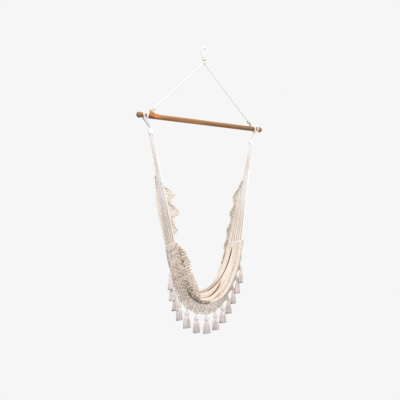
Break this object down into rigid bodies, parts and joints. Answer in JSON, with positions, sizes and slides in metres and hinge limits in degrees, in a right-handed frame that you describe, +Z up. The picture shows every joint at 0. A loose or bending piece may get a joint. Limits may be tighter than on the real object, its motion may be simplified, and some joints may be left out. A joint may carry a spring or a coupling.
{
  "type": "hammock chair",
  "caption": "Hanging rope-slung chair: a woven cloth seat gathered on fanned cords below a turned wooden spreader bar, with a scalloped lace edge and tassels.",
  "frame": {"origin": "where the hook bears inside the hanging loop", "axes": "+X along the spreader bar to the sitter's left, +Y to the back, +Z up"},
  "size_m": [0.984, 0.198, 1.914],
  "materials": {
    "rope": "matte twisted cotton rope",
    "bar": "oiled reddish hardwood",
    "leather": "tan, smooth",
    "tack": "domed head, worn",
    "harness": "matte cotton cord",
    "cloth": "cream plain weave",
    "lace": "knotted cotton lace",
    "tassel": "loose cotton yarn",
    "tie": "wound thread"
  },
  "bodies": {
    "sling_loop": {"hanging_loop": "rope"},
    "throat": {"throat_seizing": "rope"},
    "knot": {"rope_knot": "rope"},
    "frame": {"rope_leg_left": "rope", "rope_leg_right": "rope", "eye_seizing_left": "rope", "eye_seizing_right": "rope", "spreader_bar": "bar", "leather_tab": "leather", "tab_tack": "tack"},
    "seat": {"harness_eye_left": "harness", "harness_whipping_left": "harness", "harness_cord_left_1": "harness", "harness_cord_left_2": "harness", "harness_cord_left_3": "harness", "harness_cord_left_4": "harness", "harness_cord_left_5": "harness", "harness_cord_left_6": "harness", "side_hem_left": "cloth", "harness_eye_right": "harness", "harness_whipping_right": "harness", "harness_cord_right_1": "harness", "harness_cord_right_2": "harness", "harness_cord_right_3": "harness", "harness_cord_right_4": "harness", "harness_cord_right_5": "harness", "harness_cord_right_6": "harness", "side_hem_right": "cloth", "seat_cloth": "cloth", "rear_selvedge": "cloth", "front_selvedge": "cloth", "rear_lace": "lace", "front_lace": "lace"},
    "tassel_01": {"tassel_01": "tassel", "tassel_tie_01": "tie"},
    "tassel_02": {"tassel_02": "tassel", "tassel_tie_02": "tie"},
    "tassel_03": {"tassel_03": "tassel", "tassel_tie_03": "tie"},
    "tassel_04": {"tassel_04": "tassel", "tassel_tie_04": "tie"},
    "tassel_05": {"tassel_05": "tassel", "tassel_tie_05": "tie"},
    "tassel_06": {"tassel_06": "tassel", "tassel_tie_06": "tie"},
    "tassel_07": {"tassel_07": "tassel", "tassel_tie_07": "tie"},
    "tassel_08": {"tassel_08": "tassel", "tassel_tie_08": "tie"},
    "tassel_09": {"tassel_09": "tassel", "tassel_tie_09": "tie"},
    "tassel_10": {"tassel_10": "tassel", "tassel_tie_10": "tie"},
    "tassel_11": {"tassel_11": "tassel", "tassel_tie_11": "tie"},
    "tassel_12": {"tassel_12": "tassel", "tassel_tie_12": "tie"},
    "tassel_13": {"tassel_13": "tassel", "tassel_tie_13": "tie"}
  },
  "joints": [
    {"name": "chair_turn", "type": "hinge", "parent": "sling_loop", "child": "throat", "pos_m": [0, 0, -0.062], "axis": [0, 0, 1], "range_deg": [-90, 90], "stiffness_Nm_per_rad": 0.6},
    {"name": "chair_swing", "type": "hinge", "parent": "throat", "child": "knot", "pos_m": [0, 0, -0.0967], "axis": [1, 0, 0], "range_deg": [-35, 35]},
    {"name": "chair_sway", "type": "hinge", "parent": "knot", "child": "frame", "pos_m": [0, 0, -0.0967], "axis": [0, 1, 0], "range_deg": [-20, 20]},
    {"name": "seat_swing", "type": "hinge", "parent": "frame", "child": "seat", "pos_m": [0, 0, -0.5067], "axis": [1, 0, 0], "range_deg": [-30, 30]},
    {"name": "tassel_01_swing", "type": "hinge", "parent": "seat", "child": "tassel_01", "pos_m": [-0.27346, -0.038, -1.4749], "axis": [1, 0, 0], "range_deg": [-35, 0]},
    {"name": "tassel_02_swing", "type": "hinge", "parent": "seat", "child": "tassel_02", "pos_m": [-0.25432, -0.02318, -1.54651], "axis": [1, 0, 0], "range_deg": [-35, 0]},
    {"name": "tassel_03_swing", "type": "hinge", "parent": "seat", "child": "tassel_03", "pos_m": [-0.22689, -0.01345, -1.61599], "axis": [1, 0, 0], "range_deg": [-35, 0]},
    {"name": "tassel_04_swing", "type": "hinge", "parent": "seat", "child": "tassel_04", "pos_m": [-0.19186, -0.00438, -1.68145], "axis": [1, 0, 0], "range_deg": [-35, 0]},
    {"name": "tassel_05_swing", "type": "hinge", "parent": "seat", "child": "tassel_05", "pos_m": [-0.13995, -0.01213, -1.7355], "axis": [1, 0, 0], "range_deg": [-35, 35]},
    {"name": "tassel_06_swing", "type": "hinge", "parent": "seat", "child": "tassel_06", "pos_m": [-0.07457, -0.02291, -1.77201], "axis": [1, 0, 0], "range_deg": [-35, 35]},
    {"name": "tassel_07_swing", "type": "hinge", "parent": "seat", "child": "tassel_07", "pos_m": [0, -0.02797, -1.78421], "axis": [1, 0, 0], "range_deg": [-35, 35]},
    {"name": "tassel_08_swing", "type": "hinge", "parent": "seat", "child": "tassel_08", "pos_m": [0.07457, -0.02291, -1.77201], "axis": [1, 0, 0], "range_deg": [-35, 35]},
    {"name": "tassel_09_swing", "type": "hinge", "parent": "seat", "child": "tassel_09", "pos_m": [0.13995, -0.01213, -1.7355], "axis": [1, 0, 0], "range_deg": [-35, 35]},
    {"name": "tassel_10_swing", "type": "hinge", "parent": "seat", "child": "tassel_10", "pos_m": [0.19186, -0.00438, -1.68145], "axis": [1, 0, 0], "range_deg": [-35, 0]},
    {"name": "tassel_11_swing", "type": "hinge", "parent": "seat", "child": "tassel_11", "pos_m": [0.22689, -0.01345, -1.61599], "axis": [1, 0, 0], "range_deg": [-35, 0]},
    {"name": "tassel_12_swing", "type": "hinge", "parent": "seat", "child": "tassel_12", "pos_m": [0.25432, -0.02318, -1.54651], "axis": [1, 0, 0], "range_deg": [-35, 0]},
    {"name": "tassel_13_swing", "type": "hinge", "parent": "seat", "child": "tassel_13", "pos_m": [0.27346, -0.038, -1.4749], "axis": [1, 0, 0], "range_deg": [-35, 0]}
  ],
  "couplings": [
    {"joint": "tassel_02_swing", "follows": "tassel_01_swing", "ratio": 1},
    {"joint": "tassel_03_swing", "follows": "tassel_01_swing", "ratio": 1},
    {"joint": "tassel_04_swing", "follows": "tassel_01_swing", "ratio": 1},
    {"joint": "tassel_12_swing", "follows": "tassel_13_swing", "ratio": 1},
    {"joint": "tassel_11_swing", "follows": "tassel_13_swing", "ratio": 1},
    {"joint": "tassel_10_swing", "follows": "tassel_13_swing", "ratio": 1}
  ]
}
